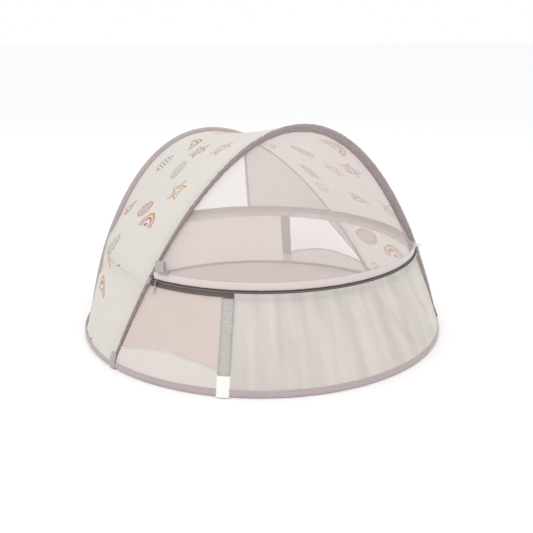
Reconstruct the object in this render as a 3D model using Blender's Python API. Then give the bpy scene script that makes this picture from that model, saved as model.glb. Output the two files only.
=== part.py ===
"""Pop-up play tent: a round, shallow cot body with mesh windows, two sprung arches that carry a
printed canopy, and a mosquito net that zips to the front of the rim.

Metres, +Z up. The origin is on the ground under the middle of the floor, and the front faces -Y.
"""
import math

import bmesh
import bpy
from mathutils import Vector

for old_object in list(bpy.data.objects):
    bpy.data.objects.remove(old_object, do_unlink=True)

# ---- driving dimensions ---------------------------------------------------------------------
SEAM_GAP = 0.0005          # air left between two pieces that are sewn together
FABRIC = 0.0010            # woven cloth, net and hem
SLEEVE_FABRIC = 0.0008
WIRE_RADIUS = 0.0020       # sprung steel wire of every hoop
SLEEVE_HALF_WIDTH = 0.0100
SLEEVE_HALF_DEPTH = 0.0032
SLIT = math.radians(28)    # half of the open angle in a sleeve's seam side
FERRULE_LENGTH = 0.040
FERRULE_WALL = 0.0005
FERRULE_CLEARANCE = 0.0003

BASE_RADIUS = 0.570        # wire centre line on the ground
BASE_HEIGHT = 0.0110
RIM_RADIUS = 0.478
RIM_HEIGHT = 0.258
FLOOR_CLOTH = 0.0015
MAT_THICKNESS = 0.014

ARCH_FOOT_X = 0.526        # both arches stand on the base ring this far out
ARCH_FOOT_Y = 0.218
ARCH_FOOT_HEIGHT = 0.015
FRONT_RISE = 0.662
FRONT_LEAN = math.radians(-8.5)
REAR_RISE = 0.646
REAR_LEAN = math.radians(35.1)
LEG_START = 0.030          # arch sleeves start this high, just over the base ring's sleeve
FOLD_HEIGHT = 0.276        # the front arch bends where its sleeve is stitched to the rim
FOLD_WIRE_GAP = 0.0020
FOLD_SLEEVE_START = 0.0062

POST_ANGLE = math.radians(240)
POST_HALF_WIDTH = 0.0170
POST_HALF_DEPTH = 0.0031
POST_TOP = 0.2440
POCKET_TOP = 0.0560
POCKET_HALF_DEPTH = 0.0050

WALL_TOP = 0.2572
LEG_CLEARANCE = 0.0020     # from a leg's sleeve to the wall's edge beside it
SKIRT_HEIGHT = 0.065       # of the opaque skirt at its two ends, under a mesh window
SKIRT_CREST = 0.026
SIDE_BULGE_LOW = 0.0434    # how far the side wall stands out from a straight line between feet
SIDE_BULGE_HIGH = 0.0715
SIDE_CREST = 0.40           # share of the way back from the front arch where the rim pushes most
SIDE_CREST = 0.40           # where the rim pushes the cloth out most, from the front arch
CANOPY_SAG = 0.014
CANOPY_SEAM = 0.42         # share of the canopy that lies in front of its cross seam
WINDOW_SHARE = 0.22        # half of the rear window's share of the arch
WINDOW_TOP = 0.80

TEETH_RADIUS = 0.0016
TAPE_HALF_GAP = 0.0021     # from the teeth's middle to each tape
TAPE_WIDTH = 0.0120
ZIP_HEIGHT = 0.2615
HEM_HEIGHT = 0.0280
NET_BULGE = 0.012
NET_CORNER = 0.012         # height of the net's edge along the arch at its two corners
SLIDER_LENGTH = 0.014
SLIDER_WIDTH = 0.010
SLIDER_DEPTH = 0.0035
PULLER_LENGTH = 0.034
PULLER_WIDTH = 0.0075
PULLER_DEPTH = 0.0016
PULLER_EYE = 0.0009          # from the puller's pivot to its upper end
TAB_WIDTH = 0.022
TAB_HEIGHT = 0.046
STRAP_WIDTH = 0.014
STRAP_WRAP = math.radians(75)

RING_STEPS = 60
ARCH_STEPS = 32

SLEEVE_FACE = SLEEVE_FABRIC / 2 + SEAM_GAP     # from a sleeve's middle surface to what touches it
WALL_BOTTOM = BASE_HEIGHT + SLEEVE_HALF_WIDTH + SLEEVE_FACE

ARCHES = {
    # rise, lean, height of the curve's middle, share of the third harmonic
    "front": (FRONT_RISE, FRONT_LEAN, -1.338, -0.025),
    "rear": (REAR_RISE, REAR_LEAN, -1.221, 0.005),
}
FOOT_SIDE = {"front": -1, "rear": 1}


# ---- curves that the pieces share -----------------------------------------------------------
def polar(angle, radius, height):
    return Vector((radius * math.cos(angle), radius * math.sin(angle), height))


def arch_span(arch):
    rise, lean, middle, third = ARCHES[arch]
    return math.acos(-middle / (rise - middle))


def arch_point(arch, turn):
    """A point on the arch's wire; turn runs from -span at the left foot to +span at the right."""
    rise, lean, middle, third = ARCHES[arch]
    span = arch_span(arch)
    wide = (ARCH_FOOT_X - third * math.sin(3 * span)) / math.sin(span)
    across = wide * math.sin(turn) + third * math.sin(3 * turn)
    along = middle + (rise - middle) * math.cos(turn)
    foot_y = FOOT_SIDE[arch] * ARCH_FOOT_Y
    return Vector((across, foot_y + along * math.sin(lean), ARCH_FOOT_HEIGHT + along * math.cos(lean)))


def arch_frame(arch, turn):
    """Outward direction in the arch's plane, and the plane's own direction to the rear."""
    lean = ARCHES[arch][1]
    rearward = Vector((0, math.cos(lean), -math.sin(lean)))
    tangent = (arch_point(arch, turn + 1e-4) - arch_point(arch, turn - 1e-4)).normalized()
    outward = rearward.cross(tangent).normalized()
    if outward.dot(arch_point(arch, turn) - arch_point(arch, 0) + Vector((0, 0, 0.4))) < 0:
        outward.negate()
    return outward, rearward


def turn_at_height(arch, height):
    low, high = 0.0, arch_span(arch)
    for _ in range(40):
        middle = (low + high) / 2
        if arch_point(arch, middle).z > height:
            low = middle
        else:
            high = middle
    return (low + high) / 2


def leg_point(arch, height):
    return arch_point(arch, turn_at_height(arch, height))


def leg_angle(arch, height):
    point = leg_point(arch, height)
    return math.atan2(abs(point.y), point.x)


def wall_radius(height):
    """The cot's wall is a cone from the base ring to the rim, and upright above the rim."""
    rim_face = RIM_RADIUS + SLEEVE_HALF_DEPTH + SLEEVE_FABRIC + SEAM_GAP
    share = (RIM_HEIGHT - height) / (RIM_HEIGHT - WALL_BOTTOM)
    return rim_face + (BASE_RADIUS - rim_face) * max(share, 0)


def steps(start, end, count):
    return [start + (end - start) * index / count for index in range(count + 1)]


def mix(start, end, share):
    return start + (end - start) * share


# ---- materials ------------------------------------------------------------------------------
def material(name, colour, roughness=0.8, metallic=0.0, alpha=1.0):
    made = bpy.data.materials.get(name) or bpy.data.materials.new(name)
    made.use_nodes = True
    shader = made.node_tree.nodes["Principled BSDF"]
    shader.inputs["Base Color"].default_value = (*colour, 1)
    shader.inputs["Roughness"].default_value = roughness
    shader.inputs["Metallic"].default_value = metallic
    shader.inputs["Alpha"].default_value = alpha
    return made


BINDING = ("mauve_binding", (0.41, 0.33, 0.34), 0.75)
SATIN = ("satin_cloth", (0.66, 0.62, 0.59), 0.45)
CANOPY_CLOTH = ("canopy_cloth", (0.80, 0.76, 0.73), 0.8)
MESH_CLOTH = ("mesh_cloth", (0.72, 0.64, 0.65), 0.9)
NET_CLOTH = ("net_cloth", (0.66, 0.58, 0.60), 0.9, 0.0, 0.5)
SPRING_WIRE = ("spring_wire", (0.42, 0.43, 0.45), 0.35, 1.0)
ZIP_CHAIN = ("zip_chain", (0.06, 0.05, 0.05), 0.5)
ZIP_METAL = ("zip_metal", (0.10, 0.09, 0.09), 0.4, 0.6)
MAT_CLOTH = ("mat_cloth", (0.64, 0.51, 0.53), 0.8)
FLOOR_CLOTH_LOOK = ("floor_cloth", (0.58, 0.50, 0.50), 0.8)
TAB_CLOTH = ("tab_cloth", (0.82, 0.79, 0.74), 0.7)


# ---- makers ---------------------------------------------------------------------------------
def link(made, look):
    bpy.context.scene.collection.objects.link(made)
    made.data.materials.append(material(*look))
    return made


def sheet(name, look, rows, thickness=FABRIC, closed=False):
    """Cloth: a grid of points, given its thickness on both sides. Closed joins the last row
    to the first."""
    mesh = bpy.data.meshes.new(name)
    grid = bmesh.new()
    points = [[grid.verts.new(point) for point in row] for row in rows]
    pairs = list(zip(points, points[1:] + points[:1])) if closed else list(zip(points, points[1:]))
    for here, there in pairs:
        for index in range(len(here) - 1):
            grid.faces.new((here[index], here[index + 1], there[index + 1], there[index]))
    bmesh.ops.recalc_face_normals(grid, faces=grid.faces)
    grid.to_mesh(mesh)
    grid.free()
    mesh.shade_smooth()
    made = link(bpy.data.objects.new(name, mesh), look)
    solid = made.modifiers.new("thickness", "SOLIDIFY")
    solid.thickness = thickness
    solid.offset = 0
    return made


def wire(name, look, points, radius=WIRE_RADIUS, cyclic=False):
    curve = bpy.data.curves.new(name, "CURVE")
    curve.dimensions = "3D"
    curve.bevel_depth = radius
    curve.bevel_resolution = 1
    curve.use_fill_caps = not cyclic
    spline = curve.splines.new("POLY")
    spline.points.add(len(points) - 1)
    for slot, point in zip(spline.points, points):
        slot.co = (*point, 1)
    spline.use_cyclic_u = cyclic
    return link(bpy.data.objects.new(name, curve), look)


def sleeve_profile(half_width, half_depth, count=8):
    """An oval round the wire, open along its seam side, as (width, depth) pairs."""
    profile = []
    for angle in steps(-math.pi + SLIT, math.pi - SLIT, count):
        profile.append((half_width * math.sin(angle), half_depth * math.cos(angle)))
    return profile


def sleeve(name, look, stations, half_width=SLEEVE_HALF_WIDTH, half_depth=SLEEVE_HALF_DEPTH,
           closed=False):
    """Stations are (point, outward, sideways); the slit faces away from outward."""
    profile = sleeve_profile(half_width, half_depth)
    rows = []
    for point, outward, sideways in stations:
        rows.append([point + sideways * width + outward * depth for width, depth in profile])
    return sheet(name, look, rows, SLEEVE_FABRIC, closed)


def disc(name, look, radius, low, high):
    mesh = bpy.data.meshes.new(name)
    solid = bmesh.new()
    bmesh.ops.create_cone(solid, cap_ends=True, segments=RING_STEPS, radius1=radius,
                          radius2=radius, depth=high - low)
    bmesh.ops.translate(solid, verts=solid.verts, vec=(0, 0, (low + high) / 2))
    solid.to_mesh(mesh)
    solid.free()
    return link(bpy.data.objects.new(name, mesh), look)


def block(name, look, centre, axes, size, bevel):
    """A small plate whose three sides lie along the given axes."""
    mesh = bpy.data.meshes.new(name)
    solid = bmesh.new()
    bmesh.ops.create_cube(solid, size=1)
    for corner in solid.verts:
        offset = sum((axis * side * share for axis, side, share in zip(axes, size, corner.co)),
                     Vector())
        corner.co = centre + offset
    if axes[0].cross(axes[1]).dot(axes[2]) < 0:
        bmesh.ops.reverse_faces(solid, faces=solid.faces)
    solid.to_mesh(mesh)
    solid.free()
    made = link(bpy.data.objects.new(name, mesh), look)
    rounding = made.modifiers.new("rounded_edges", "BEVEL")
    rounding.width = bevel
    rounding.segments = 2
    return made


def hang_on(pivot_name, pivot, pieces, carrier=None):
    """Moving pieces hang on an empty that stands on their joint's axis."""
    empty = bpy.data.objects.new(pivot_name, None)
    bpy.context.scene.collection.objects.link(empty)
    place = Vector(pivot)
    if carrier:
        empty.parent = carrier
        place -= carrier.matrix_world.translation
    empty.location = place
    bpy.context.view_layer.update()
    for piece in pieces:
        piece.parent = empty
        piece.location = -Vector(pivot)
    return empty


# ---- base ring, rim ring and floor ----------------------------------------------------------
def ring(name, radius, height):
    angles = steps(0, 2 * math.pi, RING_STEPS)[:-1]
    up = Vector((0, 0, 1))
    wire(name + "_hoop", SPRING_WIRE, [polar(a, radius, height) for a in angles], cyclic=True)
    stations = [(polar(a, radius, height), polar(a, 1, 0), up) for a in angles]
    sleeve(name + "_sleeve", BINDING, stations, closed=True)
    ferrule(name + "_ferrule", radius, height)


def ferrule(name, radius, height):
    """A crimped tube that joins the two ends of a ring's wire, at the rear. It is straight, and
    lies along one straight side of the ring."""
    half_side = math.pi / RING_STEPS
    angle = math.pi / 2 + half_side
    along = polar(angle + math.pi / 2, 1, 0)
    middle = polar(angle, radius * math.cos(half_side), height)
    bore = WIRE_RADIUS + FERRULE_CLEARANCE + FERRULE_WALL / 2
    rows = []
    for side in steps(0, 2 * math.pi, 12)[:-1]:
        offset = polar(angle, bore * math.cos(side), bore * math.sin(side))
        rows.append([middle + offset + along * station
                     for station in steps(-FERRULE_LENGTH / 2, FERRULE_LENGTH / 2, 2)])
    sheet(name, SPRING_WIRE, rows, FERRULE_WALL, closed=True)


ring("base", BASE_RADIUS, BASE_HEIGHT)
ring("rim", RIM_RADIUS, RIM_HEIGHT)
inside_base = BASE_RADIUS - SLEEVE_HALF_DEPTH * math.cos(SLIT) - SLEEVE_FACE
disc("floor_panel", FLOOR_CLOTH_LOOK, inside_base, 0, FLOOR_CLOTH)
mat_low = FLOOR_CLOTH + SEAM_GAP
disc("floor_mat", MAT_CLOTH, inside_base, mat_low, mat_low + MAT_THICKNESS)


# ---- arches ---------------------------------------------------------------------------------
def arch_wire(name, arch, start, end, count):
    return wire(name, SPRING_WIRE, [arch_point(arch, turn) for turn in steps(start, end, count)])


def arch_sleeve(name, arch, start, end, count):
    stations = []
    for turn in steps(start, end, count):
        outward, rearward = arch_frame(arch, turn)
        stations.append((arch_point(arch, turn), outward, rearward))
    return sleeve(name, BINDING, stations)


rear_foot = turn_at_height("rear", WALL_BOTTOM)
rear_sleeve_foot = turn_at_height("rear", LEG_START)
arch_wire("rear_arch_hoop", "rear", -rear_foot, rear_foot, ARCH_STEPS)
arch_sleeve("rear_arch_sleeve", "rear", -rear_sleeve_foot, rear_sleeve_foot, ARCH_STEPS)

front_foot = turn_at_height("front", WALL_BOTTOM)
front_sleeve_foot = turn_at_height("front", LEG_START)
fold_turn = turn_at_height("front", FOLD_HEIGHT)
leg_top = turn_at_height("front", FOLD_HEIGHT - FOLD_WIRE_GAP)
leg_sleeve_top = turn_at_height("front", FOLD_HEIGHT - SEAM_GAP)
bow_sleeve_start = turn_at_height("front", FOLD_HEIGHT + FOLD_SLEEVE_START)
for side_name, side in (("left", -1), ("right", 1)):
    arch_wire("front_leg_wire_" + side_name, "front", side * front_foot, side * leg_top, 8)
    arch_sleeve("front_leg_sleeve_" + side_name, "front", side * front_sleeve_foot,
                side * leg_sleeve_top, 8)
bow_pieces = [
    arch_wire("front_bow_wire", "front", -fold_turn, fold_turn, ARCH_STEPS),
    arch_sleeve("front_bow_sleeve", "front", -bow_sleeve_start, bow_sleeve_start, ARCH_STEPS),
]
fold_point = arch_point("front", fold_turn)
hang_on("front_arch_fold_axis", (0, fold_point.y, fold_point.z), bow_pieces)

# ---- foot tabs: each arch foot is held to the base ring by a tab on the outside --------------
tab_radius = BASE_RADIUS + SLEEVE_HALF_DEPTH + SLEEVE_FABRIC / 2 + SEAM_GAP + FABRIC / 2
foot_angle = math.atan2(ARCH_FOOT_Y, ARCH_FOOT_X)
FOOT_ANGLES = {
    "front_right": -foot_angle,
    "rear_right": foot_angle,
    "rear_left": math.pi - foot_angle,
    "front_left": math.pi + foot_angle,
}
for corner, angle in FOOT_ANGLES.items():
    half_turn = TAB_WIDTH / 2 / tab_radius
    rows = []
    for height in steps(BASE_HEIGHT - SLEEVE_HALF_WIDTH / 2, TAB_HEIGHT, 3):
        rows.append([polar(a, tab_radius, height) for a in steps(angle - half_turn, angle + half_turn, 3)])
    sheet("foot_tab_" + corner, TAB_CLOTH, rows)


# ---- posts: a stay in a gathered sleeve, with its foot in a stitched pocket ------------------
def post(name, angle):
    outward, across = polar(angle, 1, 0), polar(angle + math.pi / 2, 1, 0)
    slope = polar(angle, wall_radius(POST_TOP), POST_TOP) - polar(angle, wall_radius(WALL_BOTTOM), WALL_BOTTOM)
    normal = across.cross(slope).normalized()
    if normal.dot(outward) < 0:
        normal.negate()
    heights = {"stay": (WALL_BOTTOM, POST_TOP), "sleeve": (POCKET_TOP + SEAM_GAP, POST_TOP),
               "pocket": (WALL_BOTTOM + SEAM_GAP, POCKET_TOP)}
    low, high = heights["stay"]
    wire(name + "_stay", SPRING_WIRE, [polar(angle, wall_radius(h), h) for h in (low, high)])
    for piece, depth, look in (("sleeve", POST_HALF_DEPTH, SATIN), ("pocket", POCKET_HALF_DEPTH, TAB_CLOTH)):
        low, high = heights[piece]
        stations = [(polar(angle, wall_radius(h), h), normal, across) for h in steps(low, high, 4)]
        sleeve(name + "_" + piece, look, stations, POST_HALF_WIDTH, depth)


post("front_post", POST_ANGLE)
post("rear_post", POST_ANGLE - math.pi)


# ---- wall panels ----------------------------------------------------------------------------
def post_edge(height):
    return (POST_HALF_WIDTH + SLEEVE_FABRIC + SEAM_GAP) / wall_radius(height)


def leg_edge(height):
    return (SLEEVE_HALF_WIDTH + LEG_CLEARANCE) / wall_radius(height)


def wall_panel(name, look, start, end, low, high, columns):
    """A piece of the cone; start and end give an angle for a height, low and high a height
    for a share of the width."""
    rows = []
    for share in steps(0, 1, columns):
        row = []
        for height in steps(low(share), high(share), 4):
            row.append(polar(mix(start(height), end(height), share), wall_radius(height), height))
        rows.append(row)
    return sheet(name, look, rows)


def wall(name, post_angle, leg_arch):
    """One wall between two legs: opaque on one side of its post, mesh over a skirt on the other."""
    middle = post_angle + math.pi / 6
    half = lambda height: math.pi / 2 - leg_angle(leg_arch, height) - leg_edge(height)
    skirt = lambda share: SKIRT_HEIGHT + SKIRT_CREST * math.sin(math.pi * share)
    mesh_start, mesh_end = (lambda h: middle - half(h)), (lambda h: post_angle - post_edge(h))
    wall_panel(name + "_satin", SATIN, lambda h: post_angle + post_edge(h), lambda h: middle + half(h),
               lambda s: WALL_BOTTOM, lambda s: WALL_TOP, 14)
    wall_panel(name + "_mesh", MESH_CLOTH, mesh_start, mesh_end,
               lambda s: skirt(s) + SEAM_GAP, lambda s: WALL_TOP, 8)
    wall_panel(name + "_skirt", SATIN, mesh_start, mesh_end,
               lambda s: WALL_BOTTOM, lambda s: skirt(s) - SEAM_GAP, 8)


wall("front_wall", POST_ANGLE, "front")
wall("rear_wall", POST_ANGLE - math.pi, "rear")


# ---- side walls and canopy ------------------------------------------------------------------
def bulge_shape(along, crest):
    """Rises from 0 at either end to 1 at the crest."""
    reach = crest if along < crest else 1 - crest
    return 1 - ((along - crest) / reach) ** 2


def front_edge(side, height):
    turn = side * turn_at_height("front", height)
    return arch_point("front", turn) + arch_frame("front", turn)[1] * edge_offset


def rear_edge(side, height):
    turn = side * turn_at_height("rear", height)
    return arch_point("rear", turn) - arch_frame("rear", turn)[1] * edge_offset


edge_offset = SLEEVE_HALF_WIDTH + SLEEVE_FACE
side_top = RIM_HEIGHT + SEAM_GAP
for side_name, side in (("left", -1), ("right", 1)):
    rows = []
    for height in steps(WALL_BOTTOM, side_top, 6):
        share = (height - WALL_BOTTOM) / (side_top - WALL_BOTTOM)
        bulge = mix(SIDE_BULGE_LOW, SIDE_BULGE_HIGH, share)
        crest = mix(0.5, SIDE_CREST, share)
        row = []
        for along in steps(0, 1, 14):
            point = mix(front_edge(side, height), rear_edge(side, height), along)
            point.x += side * bulge * bulge_shape(along, crest)
            row.append(point)
        rows.append(row)
    sheet("side_wall_" + side_name, CANOPY_CLOTH, rows)


def canopy_point(across, along):
    """Across runs from -1 to 1 over the arches, along from the front arch to the rear one."""
    low = side_top + FABRIC + SEAM_GAP
    front_turn = across * turn_at_height("front", low)
    rear_turn = across * turn_at_height("rear", low)
    front = arch_point("front", front_turn) + arch_frame("front", front_turn)[1] * edge_offset
    rear = arch_point("rear", rear_turn) - arch_frame("rear", rear_turn)[1] * edge_offset
    point = mix(front, rear, along)
    push = SIDE_BULGE_HIGH * abs(across) ** 4 * bulge_shape(along, SIDE_CREST)
    point.x += math.copysign(push, across)
    point.z -= CANOPY_SAG * (1 - across ** 2) * bulge_shape(along, 0.5)
    return point


def canopy(name, start, end, count):
    rows = [[canopy_point(across, along) for along in steps(start, end, count)]
            for across in steps(-1, 1, 36)]
    return sheet(name, CANOPY_CLOTH, rows)


seam_share = (FABRIC + SEAM_GAP) / 2
canopy("canopy_front", 0, CANOPY_SEAM - seam_share, 6)
canopy("canopy_rear", CANOPY_SEAM + seam_share, 1, 8)


# ---- rear panel between the rear arch, the rim and the wall's edges --------------------------
def rear_panel_point(across, up):
    turn = across * rear_sleeve_foot
    outward = arch_frame("rear", turn)[0]
    arch_side = arch_point("rear", turn)
    on_arch = arch_side - outward * (SLEEVE_HALF_DEPTH + SLEEVE_FABRIC + SEAM_GAP)
    rim_top = RIM_HEIGHT + SLEEVE_HALF_WIDTH + SLEEVE_FABRIC + SEAM_GAP
    side = math.copysign(1, across)
    if arch_side.z < rim_top:
        angle = leg_angle("rear", arch_side.z) + leg_edge(arch_side.z) / 2
        inner = polar(angle, wall_radius(arch_side.z) + FABRIC + SEAM_GAP, arch_side.z)
    else:
        low_turn = turn_at_height("rear", rim_top)
        start = leg_angle("rear", rim_top) + leg_edge(rim_top) / 2
        angle = mix(math.pi / 2, start, abs(turn) / low_turn)
        inner = polar(angle, wall_radius(rim_top) + FABRIC + SEAM_GAP, rim_top)
    inner.x *= side
    return mix(inner, on_arch, up)


def rear_panel(name, look, start, end, low, high, columns):
    rows = [[rear_panel_point(across, up) for up in steps(low, high, 4)]
            for across in steps(start, end, columns)]
    return sheet(name, look, rows)


window_gap = 0.0011         # share of the arch left between the window and the panels beside it
rear_panel("rear_panel_left", SATIN, -1, -WINDOW_SHARE - window_gap, 0, 1, 18)
rear_panel("rear_panel_right", SATIN, WINDOW_SHARE + window_gap, 1, 0, 1, 18)
rear_panel("rear_panel_header", SATIN, -WINDOW_SHARE, WINDOW_SHARE, WINDOW_TOP + 2 * window_gap, 1, 8)
rear_panel("rear_window_mesh", MESH_CLOTH, -WINDOW_SHARE, WINDOW_SHARE, 0, WINDOW_TOP, 8)


# ---- front opening: hem, net and zip ---------------------------------------------------------
FRONT = -math.pi / 2


def opening_half(height):
    return math.pi / 2 - leg_angle("front", height) - leg_edge(height)


def front_strip(name, look, radius, low, high):
    rows = []
    for share in steps(-1, 1, 28):
        rows.append([polar(FRONT + share * opening_half(height), radius(height), height)
                     for height in steps(low, high, 1)])
    return sheet(name, look, rows)


tape_face = lambda height: wall_radius(height) + FABRIC + SEAM_GAP
front_strip("zip_tape_lower", ZIP_CHAIN, tape_face, ZIP_HEIGHT - TAPE_HALF_GAP - TAPE_WIDTH,
            ZIP_HEIGHT - TAPE_HALF_GAP)
front_strip("zip_tape_upper", ZIP_CHAIN, tape_face, ZIP_HEIGHT + TAPE_HALF_GAP,
            ZIP_HEIGHT + TAPE_HALF_GAP + TAPE_WIDTH)
hem_low = ZIP_HEIGHT + TAPE_HALF_GAP + SEAM_GAP
front_strip("net_hem", SATIN, wall_radius, hem_low, hem_low + HEM_HEIGHT)

teeth_half = opening_half(ZIP_HEIGHT) - 0.012
teeth_ring = tape_face(ZIP_HEIGHT)
teeth_angles = steps(FRONT - teeth_half, FRONT + teeth_half, 40)
wire("zip_teeth", ZIP_CHAIN, [polar(a, teeth_ring, ZIP_HEIGHT) for a in teeth_angles], TEETH_RADIUS)
UP = Vector((0, 0, 1))
STOP_LENGTH = 0.004
for stop_name, side in (("left", -1), ("right", 1)):
    stop_angle = FRONT + side * (teeth_half + (STOP_LENGTH / 2 + SEAM_GAP) / teeth_ring)
    stop_axes = (polar(stop_angle, 1, 0), polar(stop_angle + math.pi / 2, 1, 0), UP)
    block("zip_stop_" + stop_name, ZIP_METAL, polar(stop_angle, teeth_ring, ZIP_HEIGHT), stop_axes,
          (2 * TEETH_RADIUS, STOP_LENGTH, 2 * TEETH_RADIUS), 0.0005)


def net_point(across, up):
    hem_top = hem_low + HEM_HEIGHT + SEAM_GAP
    hem_angle = FRONT + across * opening_half(hem_top)
    turn = across * turn_at_height("front", hem_top + NET_CORNER)
    outward, rearward = arch_frame("front", turn)
    on_arch = arch_point("front", turn) - rearward * edge_offset
    on_hem = polar(hem_angle, wall_radius(hem_top), hem_top)
    point = mix(on_hem, on_arch, up)
    point.y -= NET_BULGE * 4 * up * (1 - up) * (1 - across ** 4)
    return point


net_rows = [[net_point(across, up) for up in steps(0, 1, 10)] for across in steps(-0.985, 0.985, 36)]
sheet("mosquito_net", NET_CLOTH, net_rows)

# ---- zip slider and its puller, closed at the left end ---------------------------------------
slider_angle = FRONT - teeth_half + (SLIDER_LENGTH / 2 + SEAM_GAP) / teeth_ring
slider_out = polar(slider_angle, 1, 0)
slider_along = polar(slider_angle + math.pi / 2, 1, 0)
slider_ring = teeth_ring + TEETH_RADIUS + SEAM_GAP + SLIDER_DEPTH / 2
slider = block("zip_slider", ZIP_METAL, polar(slider_angle, slider_ring, ZIP_HEIGHT),
               (slider_out, slider_along, UP), (SLIDER_DEPTH, SLIDER_LENGTH, SLIDER_WIDTH), 0.0008)
slider_axis = hang_on("zip_slider_axis", (0, 0, ZIP_HEIGHT), [slider])

puller_ring = slider_ring + SLIDER_DEPTH / 2 + SEAM_GAP / 2 + math.hypot(PULLER_EYE, PULLER_DEPTH / 2)
puller_pivot = polar(slider_angle, puller_ring, ZIP_HEIGHT)
wall_slope = math.atan2(BASE_RADIUS - wall_radius(RIM_HEIGHT), RIM_HEIGHT - BASE_HEIGHT)
puller_down = slider_out * math.sin(wall_slope) - UP * math.cos(wall_slope)
puller_face = slider_along.cross(puller_down).normalized()
puller_middle = puller_pivot + puller_down * (PULLER_LENGTH / 2 - PULLER_EYE)
puller = block("zip_puller", ZIP_METAL, puller_middle, (puller_face, slider_along, puller_down),
               (PULLER_DEPTH, PULLER_WIDTH, PULLER_LENGTH), 0.0006)
hang_on("zip_puller_axis", puller_pivot, [puller], slider_axis)

# ---- tie straps where the front arch crosses the rim -----------------------------------------
for side_name, side in (("left", -1), ("right", 1)):
    height = FOLD_HEIGHT - SEAM_GAP - STRAP_WIDTH
    middle_turn = side * turn_at_height("front", height)
    outward, rearward = arch_frame("front", middle_turn)
    axis = outward.cross(rearward).normalized()
    rows = []
    for station in steps(-STRAP_WIDTH / 2, STRAP_WIDTH / 2, 2):
        centre = arch_point("front", middle_turn) + axis * station
        face = SLEEVE_FACE + FABRIC / 2
        row = [centre + rearward * (SLEEVE_HALF_WIDTH + face) * math.sin(wrap)
               + outward * (SLEEVE_HALF_DEPTH + face) * math.cos(wrap)
               for wrap in steps(-STRAP_WRAP, STRAP_WRAP, 6)]
        rows.append(row)
    sheet("tie_strap_" + side_name, TAB_CLOTH, rows)
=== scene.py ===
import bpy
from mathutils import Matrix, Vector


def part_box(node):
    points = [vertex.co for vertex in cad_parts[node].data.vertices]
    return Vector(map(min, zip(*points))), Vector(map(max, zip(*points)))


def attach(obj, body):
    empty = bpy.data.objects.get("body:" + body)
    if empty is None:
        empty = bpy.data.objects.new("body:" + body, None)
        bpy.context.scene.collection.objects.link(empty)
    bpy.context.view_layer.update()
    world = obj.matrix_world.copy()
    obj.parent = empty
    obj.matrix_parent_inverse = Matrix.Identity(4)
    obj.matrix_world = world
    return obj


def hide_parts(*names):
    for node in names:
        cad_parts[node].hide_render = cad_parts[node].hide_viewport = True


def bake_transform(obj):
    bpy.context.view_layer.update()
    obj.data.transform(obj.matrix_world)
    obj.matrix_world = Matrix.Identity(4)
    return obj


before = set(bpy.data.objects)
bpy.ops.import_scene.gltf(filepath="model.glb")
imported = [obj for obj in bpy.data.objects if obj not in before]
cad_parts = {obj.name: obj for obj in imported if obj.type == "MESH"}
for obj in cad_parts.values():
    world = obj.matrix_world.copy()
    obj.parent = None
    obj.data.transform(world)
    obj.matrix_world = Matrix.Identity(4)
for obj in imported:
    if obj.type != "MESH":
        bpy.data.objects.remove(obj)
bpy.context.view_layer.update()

from math import acos, atan2, copysign, cos, exp, pi, radians, sin

import bpy
import numpy as np
from mathutils import Vector, noise

# ---- studio ----
# A plain white table under a large soft lamp and an even sky, and a standing viewer's camera in
# front of the tent and a little to its left, looking slightly down.
CAMERA_AZIMUTH = radians(-19.96)
CAMERA_ELEVATION = radians(17.84)
CAMERA_DISTANCE = 2.439
CAMERA_TARGET = Vector((0.0189, 0.0098, 0.1724))
CAMERA_LENS = 50.16
SKY_STRENGTH = 1.0
KEY_LAMP_SIZE = 1.6
SOFT_LAMP_SIZE = 3.0
LAMP_AIM = Vector((0, 0, 0.2))
TABLE_REACH = 40


def set_inputs(tree, node, inputs):
    """Each input gets a number, a colour, another node's output, or a node for its first output."""
    for key, value in inputs.items():
        if isinstance(value, bpy.types.Node):
            value = value.outputs[0]
        if isinstance(value, bpy.types.NodeSocket):
            tree.links.new(value, node.inputs[key])
        else:
            node.inputs[key].default_value = value


def add(tree, kind, inputs=None, **settings):
    """Adds one node; settings are its own properties."""
    made = tree.nodes.new(kind)
    for key, value in settings.items():
        setattr(made, key, value)
    set_inputs(tree, made, inputs or {})
    return made


def step(tree, kind, inputs=None, **settings):
    """One step of a material."""
    return add(tree, "ShaderNode" + kind, inputs, **settings)


def new_object(name, data):
    made = bpy.data.objects.new(name, data)
    scene.collection.objects.link(made)
    return made


def new_material(name):
    """The material, its tree and its shader."""
    made = bpy.data.materials.new(name)
    made.use_nodes = True
    return made, made.node_tree, made.node_tree.nodes["Principled BSDF"]


def colour(hex_code):
    """sRGB hex to linear."""
    linear = []
    for start in (0, 2, 4):
        share = int(hex_code[start:start + 2], 16) / 255
        linear.append(share / 12.92 if share <= 0.04045 else ((share + 0.055) / 1.055) ** 2.4)
    return (*linear, 1.0)


scene = bpy.context.scene
scene.view_settings.view_transform = "Standard"
facing = Vector((sin(CAMERA_AZIMUTH) * cos(CAMERA_ELEVATION),
                 -cos(CAMERA_AZIMUTH) * cos(CAMERA_ELEVATION), sin(CAMERA_ELEVATION)))
camera = new_object("camera", bpy.data.cameras.new("camera"))
camera.location = CAMERA_TARGET + facing * CAMERA_DISTANCE
camera.rotation_euler = (-facing).to_track_quat("-Z", "Y").to_euler()
camera.data.lens = CAMERA_LENS
scene.camera = camera

world = bpy.data.worlds.new("even_sky")
world.use_nodes = True
sky = world.node_tree
sky.nodes.clear()
shine = step(sky, "Background", {"Color": colour("ffffff"), "Strength": SKY_STRENGTH})
step(sky, "OutputWorld", {"Surface": shine})
scene.world = world

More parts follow.
